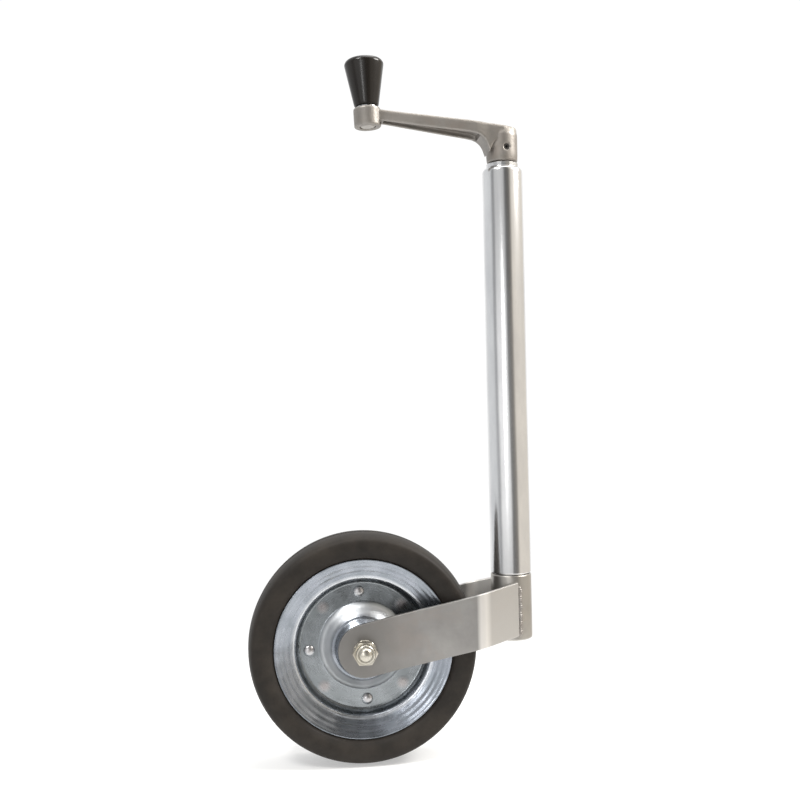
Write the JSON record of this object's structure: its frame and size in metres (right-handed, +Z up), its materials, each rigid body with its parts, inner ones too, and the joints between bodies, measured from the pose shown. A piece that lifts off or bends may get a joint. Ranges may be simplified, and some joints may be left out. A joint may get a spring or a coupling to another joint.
{
  "type": "trailer jack wheel",
  "caption": "Telescoping trailer jack wheel: clamp-on tube with a top crank and conical knob, screw-driven inner tube, offset fork and solid rubber wheel on a pressed rim.",
  "frame": {"origin": "on the outer tube's axis, at the middle of the clamp's grip, 400 mm above the ground the wheel stands on when fully retracted", "axes": "+Z up along the tube, towards the crank; -X from the tube towards the wheel and the knob; Y along the wheel's axle"},
  "size_m": [0.252, 0.0747, 0.6166],
  "materials": {
    "zinc_bright": "bright zinc plate on drawn tube",
    "zinc_rim": "bluish bright zinc plate on pressed sheet",
    "zinc_dull": "dull warm-grey zinc plate",
    "fastener_zinc": "faintly yellow zinc plate",
    "tyre_rubber": "matte solid rubber",
    "knob_plastic": "semi-gloss moulded plastic",
    "bush_nylon": "natural nylon"
  },
  "bodies": {
    "housing": {"outer_tube": "zinc_bright", "bearing_seat": "zinc_dull", "thrust_washer_steel": "zinc_dull"},
    "screw": {"spindle": "zinc_dull", "spindle_stop": "zinc_dull", "thrust_washer_nylon": "bush_nylon", "crank_arm": "zinc_dull", "crank_pin": "zinc_dull", "crank_washer": "zinc_bright", "knob_pin": "zinc_dull", "knob_washer": "zinc_bright"},
    "knob": {"knob_grip": "knob_plastic"},
    "screw_nut": {"spindle_nut": "fastener_zinc"},
    "fork": {"inner_tube": "zinc_bright", "lower_collar": "zinc_bright", "fork_leg_near": "zinc_dull", "fork_leg_far": "zinc_dull", "axle_bolt": "fastener_zinc", "axle_nut": "fastener_zinc", "axle_washer_near": "fastener_zinc", "axle_washer_far": "fastener_zinc", "axle_sleeve": "zinc_dull"},
    "wheel": {"tyre": "tyre_rubber", "rim_disc_near": "zinc_rim", "rim_disc_far": "zinc_rim", "rim_rivet_1": "fastener_zinc", "rim_rivet_2": "fastener_zinc", "rim_rivet_3": "fastener_zinc", "rim_rivet_4": "fastener_zinc", "hub_tube": "zinc_bright", "hub_bush_near": "bush_nylon", "hub_bush_far": "bush_nylon"}
  },
  "joints": [
    {"name": "crank_turn", "type": "hinge", "parent": "housing", "child": "screw", "pos_m": [0, 0, 0.13], "axis": [0, 0, 1], "range_deg": [0, 12960]},
    {"name": "lift", "type": "slide", "parent": "housing", "child": "screw_nut", "axis": [0, 0, -1], "range_m": [0, 0.1445]},
    {"name": "fork_swivel", "type": "hinge", "parent": "screw_nut", "child": "fork", "pos_m": [0, 0, -0.27], "axis": [0, 0, 1], "continuous": true},
    {"name": "wheel_spin", "type": "hinge", "parent": "fork", "child": "wheel", "pos_m": [-0.134, 0, -0.3], "axis": [0, 1, 0], "continuous": true},
    {"name": "knob_spin", "type": "hinge", "parent": "screw", "child": "knob", "pos_m": [-0.1205, 0, 0.173], "axis": [-0.0436, 0, 0.999], "continuous": true}
  ],
  "couplings": [
    {"joint": "lift", "follows": "crank_turn", "m_per_rad": 0.00063662}
  ]
}
